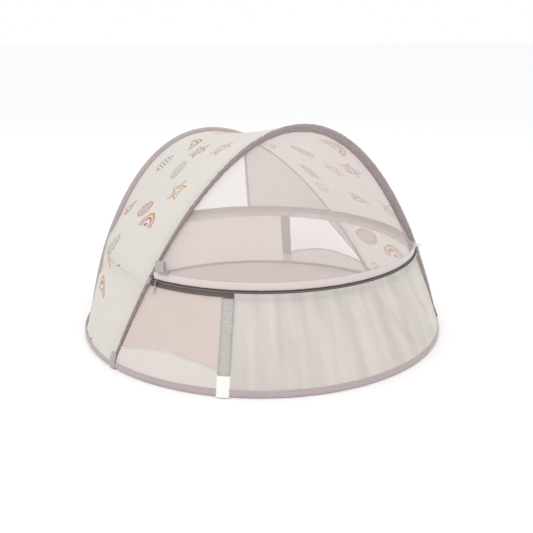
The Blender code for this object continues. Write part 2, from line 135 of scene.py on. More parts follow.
for lamp_name, place, power, size in (("key_lamp", (-2.2, -2.6, 3.6), 40, KEY_LAMP_SIZE),
                                      ("fill_lamp", (2.8, -1.4, 2.2), 5, SOFT_LAMP_SIZE),
                                      ("back_lamp", (0.6, 3.2, 2.6), 12, SOFT_LAMP_SIZE)):
    lamp = new_object(lamp_name, bpy.data.lights.new(lamp_name, "AREA"))
    lamp.data.energy = power
    lamp.data.size = size
    lamp.location = place
    lamp.rotation_euler = (LAMP_AIM - Vector(place)).to_track_quat("-Z", "Y").to_euler()

table_mesh = bpy.data.meshes.new("white_table")
table_mesh.from_pydata([(x * TABLE_REACH, y * TABLE_REACH, 0)
                        for x, y in ((-1, -1), (1, -1), (1, 1), (-1, 1))], [], [(0, 1, 2, 3)])
paint, paint_tree, paint_shader = new_material("white_table_paint")
set_inputs(paint_tree, paint_shader,
           {"Base Color": colour("fbfbfb"), "Roughness": 0.9, "Specular IOR Level": 0.1})
table_mesh.materials.append(paint)
new_object("white_table", table_mesh)

# ---- sprung wire, ferrules and stays ----
# Drawn spring steel, 4 mm thick, closed into rings by crimped tubes. It lies inside the sleeves
# and holds the whole tent open. The wire keeps the satin grey that drawing leaves.
WIRE_RADIUS = 0.0020
GRAIN_SCALE = 900.0
GRAIN_SHADE = (0.8, 0.8, 0.8, 1)
GRAIN_DEPTH = 0.0002


def plain_material(name, hex_code, roughness, metallic=0.0):
    """A hard finish with fine grain in its colour and height."""
    made, tree, shader = new_material(name)
    place = step(tree, "TexCoord")
    speckle = step(tree, "TexNoise", {"Vector": place.outputs["Object"], "Scale": GRAIN_SCALE})
    tint = step(tree, "Mix", {"Factor": speckle.outputs["Fac"], 6: colour(hex_code),
                              7: GRAIN_SHADE}, data_type="RGBA", blend_type="MULTIPLY")
    bump = step(tree, "Bump", {"Strength": 0.15, "Distance": GRAIN_DEPTH,
                               "Height": speckle.outputs["Fac"]})
    set_inputs(tree, shader, {"Base Color": tint.outputs[2], "Normal": bump,
                              "Roughness": roughness, "Metallic": metallic})
    return made


drawn_steel = plain_material("drawn_spring_steel", "a4a6aa", 0.35, 1.0)
for node_name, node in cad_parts.items():
    if node_name.endswith(("_hoop", "_ferrule", "_stay")) or "_wire" in node_name:
        node.data.materials.clear()
        node.data.materials.append(drawn_steel)

# ---- base ring ----
# A padded tape binding, 20 mm tall, folded over the base wire and stitched through the floor and
# the wall all round. Woven polyester in mauve-taupe, with a faint cross rib.
base_wire_low, base_wire_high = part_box("base_hoop")
BASE_RADIUS = base_wire_high.x - WIRE_RADIUS
BASE_HEIGHT = (base_wire_low.z + base_wire_high.z) / 2
BINDING_HALF_WIDTH = 0.0104
BINDING_HALF_DEPTH = 0.0040
RING_STATIONS = 480
BINDING_LIFT = 0.0003
BASE_GATHER = 0.0005
RING_PLEAT = 0.012  # between the gathers of either ring's binding
TAPE_RIB = 0.0024  # drawn twice as coarse as the real rib, to show
WAVE_LENGTH = 0.314  # of a wave texture at a scale of 1
WEAVE_DEPTH = 0.0004
# slant and stretch of the soft streaks of painted crease shade in a cloth's colour
SHADE_STREAK_SLOPE = 0.35
SHADE_STREAK_SCALE = (24.0, 3.0, 1.0)
INSIDE = Vector((0, 0.05, 0.15))  # a point that every open cloth faces away from


def fabric(name, hex_code, roughness=0.8, thread=0.0016, relief=0.35, shade=0.05, sheen=0.15, alpha=1.0,
           patches=9.0, glow=0.0, crease_shade=0.0):
    """Woven cloth: crossed threads in the height; in the colour, soft uneven dye together with painted
    shade, darker between the threads and, where the patches are fine, in a ruched or shirred cloth's pleats.
    Threads follow the piece's own UV map, which counts metres. Glow is the share of light let through,
    and the last setting the depth of painted shade along long soft creases."""
    made, tree, shader = new_material(name)
    place = step(tree, "UVMap", uv_map="cloth")
    warp, weft = (step(tree, "TexWave",
                       {"Vector": place, "Scale": WAVE_LENGTH / thread, "Distortion": 0.6,
                        "Detail": 1.0}, bands_direction=way) for way in "XY")
    weave = step(tree, "Math", {0: warp.outputs["Fac"], 1: weft.outputs["Fac"]}, operation="MULTIPLY")
    bump = step(tree, "Bump", {"Strength": relief, "Distance": WEAVE_DEPTH, "Height": weave})
    # painted shade: the noise patches and the gaps between threads darken the colour; strong settings paint
    # the shadows of pleats and ribs, weak ones only uneven dye
    dye_and_painted_shade = step(tree, "TexNoise", {"Vector": place, "Scale": patches, "Detail": 3.0})
    light = step(tree, "MapRange", {0: dye_and_painted_shade.outputs["Fac"], 3: 1 - shade, 4: 1 + shade * 0.4})
    painted_thread_shade = step(tree, "MapRange", {0: weave, 3: 1 - shade, 4: 1.0})
    both = step(tree, "Math", {0: light, 1: painted_thread_shade}, operation="MULTIPLY")
    # painted shade: soft slanting streaks darken the colour where the cloth's creases would be shaded
    if crease_shade:
        slant = step(tree, "Mapping", {"Vector": place, "Scale": SHADE_STREAK_SCALE,
                                       "Rotation": (0, 0, SHADE_STREAK_SLOPE)})
        soft = step(tree, "TexNoise", {"Vector": slant, "Scale": 1.0, "Detail": 1.5})
        painted_crease_shade = step(tree, "MapRange", {0: soft.outputs["Fac"], 1: 0.3, 2: 0.7, 3: 1 - crease_shade,
                                       4: 1 + crease_shade * 0.5})
        both = step(tree, "Math", {0: both, 1: painted_crease_shade}, operation="MULTIPLY")
    tint = step(tree, "VectorMath", {0: colour(hex_code)[:3], 1: both}, operation="MULTIPLY")
    set_inputs(tree, shader, {"Base Color": tint, "Normal": bump, "Roughness": roughness,
                              "Sheen Weight": sheen, "Specular IOR Level": 0.3, "Alpha": alpha})
    if glow:
        through = step(tree, "BsdfTranslucent", {"Color": tint}, name="light_through")
        both = step(tree, "MixShader", {0: glow, 1: shader, 2: through})
        set_inputs(tree, tree.nodes["Material Output"], {"Surface": both})
    return made


def as_array(grid):
    """Rows of points as one array of numbers."""
    return np.asarray([[tuple(point) for point in row] for row in grid], float)


def declare(made, body, nodes):
    """Puts the piece on the body it rides and hides the CAD nodes it stands for."""
    if body:
        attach(made, body)
    if nodes:
        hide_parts(*nodes)
    return made


def surface(name, grid, material, body, nodes=(), closed=False, round_closed=False, thickness=0.0):
    """A mesh from a grid of points. Its UV map counts metres along and across the cloth. Closed
    joins the last row to the first, round_closed the last column to the first."""
    grid = as_array(grid)
    rows, columns = grid.shape[:2]
    along, across = (np.concatenate([[0], np.cumsum(np.linalg.norm(np.diff(line, axis=0), axis=1))])
                     for line in (grid[:, columns // 2], grid[rows // 2]))
    faces, uvs = [], []
    step_along, step_across = along[-1] / (rows - 1), across[-1] / (columns - 1)
    for i in range(rows if closed else rows - 1):
        for j in range(columns if round_closed else columns - 1):
            following, beside = (i + 1) % rows, (j + 1) % columns
            faces.append((i * columns + j, i * columns + beside, following * columns + beside,
                          following * columns + j))
            next_along = along[i] + step_along if following == 0 else along[following]
            next_across = across[j] + step_across if beside == 0 else across[beside]
            uvs += [(along[i], across[j]), (along[i], next_across), (next_along, next_across),
                    (next_along, across[j])]
    if round_closed and not closed:
        faces += [tuple(range(columns)), tuple((rows - 1) * columns + j for j in reversed(range(columns)))]
        uvs += [(0, across[j]) for j in range(columns)]
        uvs += [(along[-1], across[j]) for j in reversed(range(columns))]
    mesh = bpy.data.meshes.new(name)
    mesh.from_pydata(grid.reshape(-1, 3).tolist(), [], faces)
    layer = mesh.uv_layers.new(name="cloth")
    layer.data.foreach_set("uv", np.asarray(uvs, np.float32).reshape(-1))
    mesh.update()
    middle = Vector() if round_closed else INSIDE
    if sum((face.center - middle).dot(face.normal) * face.area for face in mesh.polygons) < 0:
        mesh.flip_normals()
    mesh.shade_smooth()
    mesh.materials.append(material)
    made = new_object(name, mesh)
    if thickness:
        solid = made.modifiers.new("thickness", "SOLIDIFY")
        solid.thickness = thickness
        solid.offset = 0
    return declare(made, body, nodes)


def polar(angle, radius, height):
    return Vector((radius * cos(angle), radius * sin(angle), height))


def ramp(start, end, count):
    return [start + (end - start) * index / count for index in range(count + 1)]


def mix(start, end, share):
    return start + (end - start) * share


def gathered_tube(name, stations, half_width, half_depth, gather, pitch, material, slot, nodes,
                  body="tent", closed=False, sides=18, shift=0.0):
    """A flat sleeve. Stations are (point, outward, sideways). The cloth is gathered along its
    length in small uneven pleats of two sizes, the larger gather deep and about pitch apart; shift
    moves it outwards."""
    grid = []
    travelled = 0.0
    for index, (point, outward, sideways) in enumerate(stations):
        if index:
            travelled += (point - stations[index - 1][0]).length
        row = []
        for turn in ramp(0, 2 * pi, sides)[:-1]:
            where = Vector((travelled / pitch, 3 * cos(turn), 3 * sin(turn)))
            pleat = gather * (noise.noise(where) + 0.5 * noise.noise(where * 2.3))
            squeeze = abs(sin(turn)) ** 0.8
            wide = copysign(squeeze, sin(turn)) * (half_width + pleat)
            deep = cos(turn) * (half_depth + pleat)
            row.append(point + sideways * wide + outward * (deep + shift))
        grid.append(row)
    return surface(name, grid, material, body, nodes, closed, True)


mauve_tape = fabric("woven_mauve_tape", "b9abab", 0.78, TAPE_RIB, 0.5, 0.07, 0.2)
base_angles = ramp(0, 2 * pi, RING_STATIONS)[:-1]
UP = Vector((0, 0, 1))
ring = [(polar(a, BASE_RADIUS, BASE_HEIGHT + BINDING_LIFT), polar(a, 1, 0), UP) for a in base_angles]
gathered_tube("base_binding", ring, BINDING_HALF_WIDTH, BINDING_HALF_DEPTH, BASE_GATHER, RING_PLEAT,
              mauve_tape, "mauve_binding", ["base_sleeve"], closed=True)

# ---- floor ----
# A ground cloth sewn into the base binding, and a thin foam mat over it in brushed mauve-pink
# polyester. The mat is slightly crowned and rolls down at its edge.
mat_low, mat_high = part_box("floor_mat")
cloth_low, cloth_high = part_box("floor_panel")
MAT_RADIUS = mat_high.x
MAT_CROWN = 0.0016
MAT_EDGE = 0.010
CORE_RADIUS = 0.004  # a round piece's rings start this far from its middle
ground_cloth = fabric("coated_ground_cloth", "9c9090", 0.7, 0.003, 0.2)
brushed_mat = fabric("brushed_mat_cloth", "e6d6d2", 0.85, 0.0022, 0.25, 0.04, 0.35, patches=4.0)


def turned(name, profile, material, node):
    """A round piece from (radius, height) pairs, from the middle of its top to that of its base."""
    grid = [[polar(a, radius, height) for a in ramp(0, 2 * pi, 120)[:-1]]
            for radius, height in profile]
    return surface(name, grid, material, "tent", [node], False, True)


edge = [(MAT_RADIUS - MAT_EDGE * (1 - sin(t)), mat_high.z - MAT_CROWN - MAT_EDGE * (1 - cos(t)))
        for t in ramp(0, pi / 2, 8)]
top = [(r, mat_high.z - MAT_CROWN * (r / (MAT_RADIUS - MAT_EDGE)) ** 2)
       for r in ramp(CORE_RADIUS, MAT_RADIUS - MAT_EDGE, 24)[:-1]]
mat_pad = turned("floor_mat_pad", top + edge + [(MAT_RADIUS - 0.001, mat_low.z), (CORE_RADIUS, mat_low.z)],
                 brushed_mat, "floor_mat")
ground = turned("ground_cloth", [(CORE_RADIUS, cloth_high.z), (cloth_high.x, cloth_high.z),
                                 (cloth_high.x, cloth_low.z), (CORE_RADIUS, cloth_low.z)],
                ground_cloth, "floor_panel")

# ---- arches ----
# Two sprung wires in gathered tape sleeves, standing on the base ring. The front one leans a
# little forward and the rear one well back, which keeps the canopy between them taut.
ARCH_FOOT_X = 0.526
ARCH_FOOT_Y = 0.218
ARCH_FOOT_HEIGHT = 0.015
ARCHES = {
    # rise, lean to the rear, height of the curve's middle, share of the third harmonic
    "front": (0.662, radians(-8.5), -1.338, -0.025),
    "rear": (0.646, radians(35.1), -1.221, 0.005),
}
FOOT_SIDE = {"front": -1, "rear": 1}
SIDES = (("left", -1), ("right", 1))
LEG_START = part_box("rear_arch_sleeve")[0].z
FOLD_HEIGHT = 0.276  # the front arch folds back about its two crossings with the rim
# Half thickness, half width, how far the strip lies off its wire, and the depth of its gathers
ARCH_SLEEVE = {"front": (0.0038, 0.0122, -0.0087, 0.0022), "rear": (0.0058, 0.0105, 0.0050, 0.0006)}
# The front strip twists as the cloth pulls it: its tilt inwards at the left foot, top and right foot
STRIP_TILT = (radians(32), radians(66), radians(74))
TILT_REACH = 1 / 1.4  # of the way down to a foot, where the strip has its whole tilt
REAR_TUCK = 0.009  # the rear sleeve draws in towards its feet, from TUCK_TOP down
TUCK_TOP = 0.22
ARCH_PLEAT = 0.0095
ARCH_STATIONS = 800


def arch_span(arch):
    rise, _, middle, _ = ARCHES[arch]
    return acos(-middle / (rise - middle))


def arch_point(arch, turn):
    rise, lean, middle, third = ARCHES[arch]
    span = arch_span(arch)
    wide = (ARCH_FOOT_X - third * sin(3 * span)) / sin(span)
    across = wide * sin(turn) + third * sin(3 * turn)
    along = middle + (rise - middle) * cos(turn)
    return Vector((across, FOOT_SIDE[arch] * ARCH_FOOT_Y + along * sin(lean),
                   ARCH_FOOT_HEIGHT + along * cos(lean)))


def arch_frame(arch, turn):
    """Outward in the arch's plane, and that plane's direction to the rear."""
    lean = ARCHES[arch][1]
    rearward = Vector((0, cos(lean), -sin(lean)))
    tangent = (arch_point(arch, turn + 1e-4) - arch_point(arch, turn - 1e-4)).normalized()
    outward = rearward.cross(tangent).normalized()
    if outward.dot(arch_point(arch, turn) - arch_point(arch, 0) + Vector((0, 0, 0.4))) < 0:
        outward.negate()
    return outward, rearward


def strip_frame(arch, turn):
    """The directions across the sleeve's flat side, from its inner edge out, and through it."""
    outward, rearward = arch_frame(arch, turn)
    if arch == "rear":
        return outward, rearward
    share = min(abs(turn) / arch_span(arch) / TILT_REACH, 1)
    tilt = mix(STRIP_TILT[1], STRIP_TILT[2 if turn > 0 else 0], share)
    return (outward * sin(tilt) - rearward * cos(tilt), rearward * sin(tilt) + outward * cos(tilt))


def turn_at_height(arch, height):
    low, high = 0.0, arch_span(arch)
    for _ in range(40):
        middle = (low + high) / 2
        if arch_point(arch, middle).z > height:
            low = middle
        else:
            high = middle
    return (low + high) / 2


def smooth(value):
    value = min(max(value, 0), 1)
    return value * value * (3 - 2 * value)


def arch_sleeve(name, arch, start, end, count, body, node):
    stations = []
    for turn in ramp(start, end, count):
        outer, through = strip_frame(arch, turn)
        point = arch_point(arch, turn)
        if arch == "rear":
            point -= outer * REAR_TUCK * (1 - smooth(point.z / TUCK_TOP))
        stations.append((point, outer, through))
    wide, deep, shift, gather = ARCH_SLEEVE[arch]
    tape = ruched_tape if arch == "front" else mauve_tape
    return gathered_tube(name, stations, wide, deep, gather, ARCH_PLEAT, tape, "mauve_binding", [node],
                         body, shift=shift)


# painted shade: fine dark patches and strong thread shade paint the shadows between the ruched pleats into
# the tape's colour
ruched_tape = fabric("ruched_mauve_tape", "b3a4a4", 0.75, 0.0064, 1.0, 0.26, 0.2, patches=110.0)
rear_foot = turn_at_height("rear", LEG_START)
front_foot = turn_at_height("front", LEG_START)
fold_turn = turn_at_height("front", FOLD_HEIGHT)
arch_sleeve("rear_arch_binding", "rear", -rear_foot, rear_foot, ARCH_STATIONS, "tent", "rear_arch_sleeve")
arch_sleeve("front_arch_binding", "front", -fold_turn, fold_turn, ARCH_STATIONS, "front_arch",
            "front_bow_sleeve")
for side_name, side in SIDES:
    arch_sleeve("front_leg_binding_" + side_name, "front", side * front_foot, side * fold_turn, 90, "tent",
                "front_leg_sleeve_" + side_name)

# ---- rim ring ----
# The upper ring, in the same tape, with a 30 mm satin facing that hangs inside it and hides the
# top of the wall. The facing's lower edge is gathered by its seam.
rim_wire_low, rim_wire_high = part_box("rim_hoop")
RIM_RADIUS = rim_wire_high.x - WIRE_RADIUS
RIM_HEIGHT = (rim_wire_low.z + rim_wire_high.z) / 2
RIM_HALF_WIDTH = 0.0096
RIM_HALF_DEPTH = 0.0034
RIM_GATHER = 0.0004
FACING_DEPTH = 0.030
FACING_LIFT = 0.006  # the facing starts this far above the wire, under the binding
FACING_GAP = 0.0048  # inside the wire at the facing's top
FACING_FLARE = 0.004  # its lower edge lies this much further out
FACING_RIPPLE = 0.0016
# the satin's colour carries painted shade along its creases, in soft slanting streaks
satin = fabric("pale_satin", "e8e3dd", 0.36, 0.0018, 0.22, 0.06, 0.3, patches=5.0, glow=0.34, crease_shade=0.10)
ring = [(polar(a, RIM_RADIUS, RIM_HEIGHT), polar(a, 1, 0), UP) for a in base_angles]
gathered_tube("rim_binding", ring, RIM_HALF_WIDTH, RIM_HALF_DEPTH, RIM_GATHER, RING_PLEAT,
              mauve_tape, "mauve_binding", ["rim_sleeve"], closed=True)
facing_rows = []
for angle in base_angles:
    row = []
    for down in ramp(0, 1, 6):
        height = RIM_HEIGHT + FACING_LIFT - (FACING_DEPTH + FACING_LIFT) * down
        ripple = FACING_RIPPLE * down * noise.noise(polar(angle, 40, down))
        row.append(polar(angle, RIM_RADIUS - FACING_GAP + FACING_FLARE * down + ripple, height))
    facing_rows.append(row)
facing = surface("rim_facing", facing_rows, satin, "tent", closed=True)

# ---- wall ----
# The cot's wall is a cone of cloth from the base ring to the rim. Each of its two faces has a
# post; one side of the post is opaque satin, and the other is knitted mesh over a low skirt.
WALL_TOP = 0.2572
WALL_BOTTOM = BASE_HEIGHT + 0.0109
POST_ANGLE = radians(240)
POST_HALF_WIDTH = 0.0170
SKIRT_HEIGHT = 0.065
SKIRT_CREST = 0.026
SKIRT_EDGING = (0.0030, 0.0010, 0.0002, 0.006)  # half width, half depth, gather and its pitch
EDGING_OUT = 0.0008
FOLD_SPACING = 0.046  # between the satin's hanging creases
FOLD_DEPTH = 0.0125
LEG_EDGE = 0.0075  # from a leg's middle to the wall's edge beside it
TAPE_LAP = 0.0068  # the satin's top edge lies over the zip's lower tape
LAP_START, LAP_RUN = 0.020, 0.014  # the lap starts this far below the top, and takes this long
RIM_FACE = 0.0045  # from the rim's wire to the wall's top
POST_LAP = 0.0010  # how far each cloth runs in under the post's edge
SATIN_RISE = 0.0020  # the satin ends this far above the mesh
MESH_LAP = 0.0030  # the mesh runs this far down behind the skirt
CREASE_SLANT = 0.6
CREASE_SHARPNESS = 0.55
FRONT = -pi / 2


def leg_angle(arch, height):
    point = arch_point(arch, turn_at_height(arch, height))
    return atan2(abs(point.y), point.x)


def face_half(arch, height):
    """Half the angle that a face of the wall spans between its arch's two legs."""
    return pi / 2 - leg_angle(arch, height) - LEG_EDGE / wall_radius(height)


def wall_radius(height):
    rim_face = RIM_RADIUS + RIM_FACE
    share = (RIM_HEIGHT - height) / (RIM_HEIGHT - WALL_BOTTOM)
    return rim_face + (BASE_RADIUS - rim_face) * max(share, 0)


def wave(x, y, z):
    """Soft random waves, the same in every run."""
    return noise.noise(Vector((x, y, z)))


def crease(angle, rise, strength):
    """Long shallow creases that start at the rim and run down at a slant, fading to the base."""
    across = angle * BASE_RADIUS / FOLD_SPACING
    long_wave = wave(0.55 * across + CREASE_SLANT * rise * 4, rise * 0.9, 3.1)
    sharp = 1 - abs(wave(0.8 * across + CREASE_SLANT * rise * 5, rise * 0.7, 7.7)) * 2
    shape = long_wave + CREASE_SHARPNESS * max(sharp, 0) ** 3
    hold = sin(pi * min(max(rise, 0), 1)) ** 0.5
    return strength * FOLD_DEPTH * shape * hold


def wall_grid(start, end, low, high, columns, rows, strength, covers_tape):
    grid = []
    for share in ramp(0, 1, columns):
        line = []
        for rise in ramp(0, 1, rows):
            height = mix(low(share), high(share), rise)
            angle = mix(start(height), end(height), share)
            whole_rise = (height - WALL_BOTTOM) / (WALL_TOP - WALL_BOTTOM)
            edge_hold = min(1, 12 * share, 12 * (1 - share))
            push = crease(angle, whole_rise, strength) * edge_hold
            lap = TAPE_LAP * smooth((height - WALL_TOP + LAP_START) / LAP_RUN) if covers_tape else 0.0
            line.append(polar(angle, wall_radius(height) + push + lap, height))
        grid.append(line)
    return grid


knitted_mesh = fabric("knitted_window_mesh", "e8dad4", 0.9, 0.0030, 0.4, 0.08, 0.2, alpha=0.60)
clear_mesh = fabric("clear_window_mesh", "f2ecea", 0.9, 0.0030, 0.4, 0.05, 0.2, alpha=0.38)
skirt_cloth = fabric("thin_skirt_cloth", "f0ebe6", 0.55, 0.0018, 0.22, 0.05, 0.3, glow=0.35)
rear_satin = fabric("pale_pink_lining", "ece3df", 0.6, 0.0018, 0.22, 0.04, 0.3, patches=4.0, glow=0.5)


def sheet(name, grid, material, nodes, body="tent", thickness=0.0):
    """A cloth from a grid of points, with the given thickness if any."""
    piece = surface(name, grid, material, body, nodes, thickness=thickness)
    grid = as_array(grid)
    return piece


def wall_face(name, post_angle, arch, opaque, mesh):
    middle = post_angle + pi / 6

    def post_edge(height):
        return (POST_HALF_WIDTH - POST_LAP) / wall_radius(height)

    def skirt(share):
        return SKIRT_HEIGHT + SKIRT_CREST * sin(pi * share)

    def mesh_start(height):
        return middle - face_half(arch, height)

    def mesh_end(height):
        return post_angle - post_edge(height)

    for suffix, material, start, end, low, high, columns, rows, strength, slot in (
            ("_satin", opaque, lambda h: post_angle + post_edge(h), lambda h: middle + face_half(arch, h),
             lambda s: WALL_BOTTOM, lambda s: WALL_TOP + SATIN_RISE, 300, 60, 1.0, "satin_cloth"),
            ("_mesh", mesh, mesh_start, mesh_end, lambda s: skirt(s) - MESH_LAP, lambda s: WALL_TOP,
             60, 30, 0.25, "mesh_cloth"),
            ("_skirt", skirt_cloth, mesh_start, mesh_end, lambda s: WALL_BOTTOM, skirt,
             90, 12, 0.35, "satin_cloth")):
        grid = wall_grid(start, end, low, high, columns, rows, strength, suffix == "_satin")
        sheet(name + suffix + "_cloth", grid, material, [name + suffix])
    edging = []
    for share in ramp(0, 1, 60):
        height = skirt(share)
        angle = mix(mesh_start(height), mesh_end(height), share)
        edging.append((polar(angle, wall_radius(height) + EDGING_OUT, height), polar(angle, 1, 0), UP))
    gathered_tube(name + "_skirt_edging", edging, *SKIRT_EDGING, skirt_cloth, "satin_cloth", [], sides=10)


wall_face("front_wall", POST_ANGLE, "front", satin, knitted_mesh)
wall_face("rear_wall", POST_ANGLE - pi, "rear", rear_satin, clear_mesh)

# ---- posts ----
# A flat stay in a shirred sleeve keeps each wall upright. The sleeve is gathered between two
# rows of stitches, and its foot sits in a white pocket sewn to the base binding.
POST_TOP = 0.2440
POCKET_TOP = 0.0560
POST_HALF_DEPTH = 0.0034
POCKET_HALF_DEPTH = 0.0052
STITCH_PITCH = 0.0052
STITCH_SIZE = (0.0034, 0.0009, 0.0007)
SEAM_INSET = 0.0025  # from the post's edge to its row of stitches
POCKET_MARGIN = 0.0012  # the pocket is this much wider than the sleeve, each side
POST_GATHER = 0.0024
POCKET_GATHER = 0.0002
POST_PLEAT = 0.0045
# painted shade: fine dark patches paint the shadows of the puckered shirring into the sleeve's colour
shirred_cloth = fabric("shirred_silver_cloth", "d6d0cb", 0.5, 0.0018, 0.3, 0.30, 0.3, patches=130.0)
pocket_tape = fabric("white_pocket_tape", "f2efec", 0.7, 0.0016, 0.3, 0.03)
sewing_thread = plain_material("mauve_sewing_thread", "8d8080", 0.8)


def repeated(name, places, size, brick, material, body, nodes=()):
    """One small piece at every (point, running, facing): running is its length's direction."""
    mesh = bpy.data.meshes.new(name + "_places")
    mesh.from_pydata([tuple(place[0]) for place in places], [], [])
    for key, column in (("running", 1), ("facing", 2)):
        layer = mesh.attributes.new(key, "FLOAT_VECTOR", "POINT")
        layer.data.foreach_set("vector", [value for place in places for value in place[column]])
    made = new_object(name, mesh)
    tree = bpy.data.node_groups.new(name + "_repeat", "GeometryNodeTree")
    tree.interface.new_socket("Geometry", in_out="INPUT", socket_type="NodeSocketGeometry")
    size_socket = tree.interface.new_socket("Size", in_out="INPUT", socket_type="NodeSocketVector")
    look_socket = tree.interface.new_socket("Material", in_out="INPUT", socket_type="NodeSocketMaterial")
    tree.interface.new_socket("Geometry", in_out="OUTPUT", socket_type="NodeSocketGeometry")
    start = add(tree, "NodeGroupInput")
    axes = {}
    for key in ("running", "facing"):
        named = add(tree, "GeometryNodeInputNamedAttribute", {"Name": key}, data_type="FLOAT_VECTOR")
        axes[key] = next(socket for socket in named.outputs if socket.enabled)
    turn = add(tree, "FunctionNodeAxesToRotation", {"Primary Axis": axes["running"],
                                                    "Secondary Axis": axes["facing"]},
               primary_axis="X", secondary_axis="Z")
    if brick == "thread":
        solid = add(tree, "GeometryNodeMeshUVSphere", {"Segments": 6, "Rings": 4, "Radius": 0.5})
    else:
        solid = add(tree, "GeometryNodeMeshCube")
    shape = add(tree, "GeometryNodeTransform", {"Geometry": solid, "Scale": start.outputs["Size"]})
    put = add(tree, "GeometryNodeInstanceOnPoints", {"Points": start.outputs["Geometry"],
                                                     "Instance": shape, "Rotation": turn})
    real = add(tree, "GeometryNodeRealizeInstances", {"Geometry": put})
    look = add(tree, "GeometryNodeSetMaterial", {"Geometry": real, "Material": start.outputs["Material"]})
    add(tree, "NodeGroupOutput", {0: look})
    modifier = made.modifiers.new("repeat", "NODES")
    modifier.node_group = tree
    modifier[size_socket.identifier] = size
    modifier[look_socket.identifier] = material
    bpy.context.view_layer.update()
    baked = bpy.data.meshes.new_from_object(made.evaluated_get(bpy.context.evaluated_depsgraph_get()))
    made.modifiers.remove(modifier)
    made.data = baked
    return declare(made, body, nodes)


def stitches(line, facing):
    """Places for stitches at an even pitch along a line of points; facing gives each one's normal."""
    places, spare = [], 0.0
    for index in range(1, len(line)):
        leg = line[index] - line[index - 1]
        if not leg.length:
            continue
        run = leg.normalized()
        while spare < leg.length:
            places.append((line[index - 1] + run * spare, run, facing[index]))
            spare += STITCH_PITCH
        spare -= leg.length
    return places


for wall_name, angle in (("front_post", POST_ANGLE), ("rear_post", POST_ANGLE - pi)):
    out = polar(angle, 1, 0)
    across = polar(angle + pi / 2, 1, 0)
    for suffix, low, high, half_width, deep, gather, cloth, slot in (
            ("_sleeve", 0.010, POST_TOP, POST_HALF_WIDTH, POST_HALF_DEPTH, POST_GATHER, shirred_cloth,
             "satin_cloth"),
            ("_pocket", 0.003, POCKET_TOP, POST_HALF_WIDTH + POCKET_MARGIN, POCKET_HALF_DEPTH, POCKET_GATHER,
             pocket_tape, "tab_cloth")):
        stations = [(polar(angle, wall_radius(h), h), out, across)
                    for h in ramp(low, high, 110 if suffix == "_sleeve" else 24)]
        gathered_tube(wall_name + suffix + "_cloth", stations, half_width, deep, gather, POST_PLEAT, cloth,
                      slot, [wall_name + suffix], sides=28)
    seam = []
    for side in (-1, 1):
        beside = across * side * (POST_HALF_WIDTH - SEAM_INSET)
        line = [polar(angle, wall_radius(h) + POST_HALF_DEPTH, h) + beside
                for h in ramp(POCKET_TOP, POST_TOP, 60)]
        seam += stitches(line, [out] * len(line))
    repeated(wall_name + "_stitches", seam, STITCH_SIZE, "thread", sewing_thread, "tent")

ring_seam = []
for ring_radius, height, depth, inset in ((BASE_RADIUS, BASE_HEIGHT, BINDING_HALF_DEPTH, 0.0075),
                                          (RIM_RADIUS, RIM_HEIGHT, RIM_HALF_DEPTH, 0.0068)):
    line = [polar(a, ring_radius + depth * 0.75, height + inset) for a in base_angles + [0.0]]
    ring_seam += stitches(line, [polar(a, 1, 0) for a in base_angles + [0.0]])
repeated("ring_stitches", ring_seam, STITCH_SIZE, "thread", sewing_thread, "tent")

# ---- side walls and canopy ----
# Light printed polyester. One cloth runs from arch to arch over the cabin. Where the rim ring
# pushes it out it creases, and below that it falls to the base ring as the cot's side walls.
SIDE_BULGE_LOW = 0.0434
SIDE_BULGE_HIGH = 0.0715
SIDE_CREST = 0.40  # share of the way back where the rim pushes the cloth out most
CANOPY_SAG = 0.014
CANOPY_SEAM = 0.42
SIDE_TOP = RIM_HEIGHT + 0.0005
PRINT_SPACING = 0.160
PRINT_START = (17.3, 5.4, 0.0)  # which part of the long print the canopy is cut from
PRINT_STRETCH = 1.6  # the cloth is printed wider than high
PRINT_RADIUS = 0.25  # of the spacing
STROKE = 0.021
SHAKE = 0.0085  # how far the drawn lines waver
HATCHING = 70.0
INK_COVER = 0.95
BLEND_LOW = 0.262  # the cloth starts to follow the folding arch here
BLEND_HIGH = 0.280
RIM_CLEAR_LOW = 0.285  # away from the arch it starts higher, to stay lying on the rim
RIM_CLEAR_HIGH = 0.400
RIM_CLEAR_FROM = 0.15
FRONT_EDGE = (-0.0020, 0.0053)  # each edge's place, rearwards and outwards of its wire
REAR_EDGE = (-0.0054, -0.0040)
SIDE_HOLLOW = 0.015
SIDE_DRAPE = 0.0035
CANOPY_DRAPE = 0.0035
CANOPY_PUCKER = 0.0014


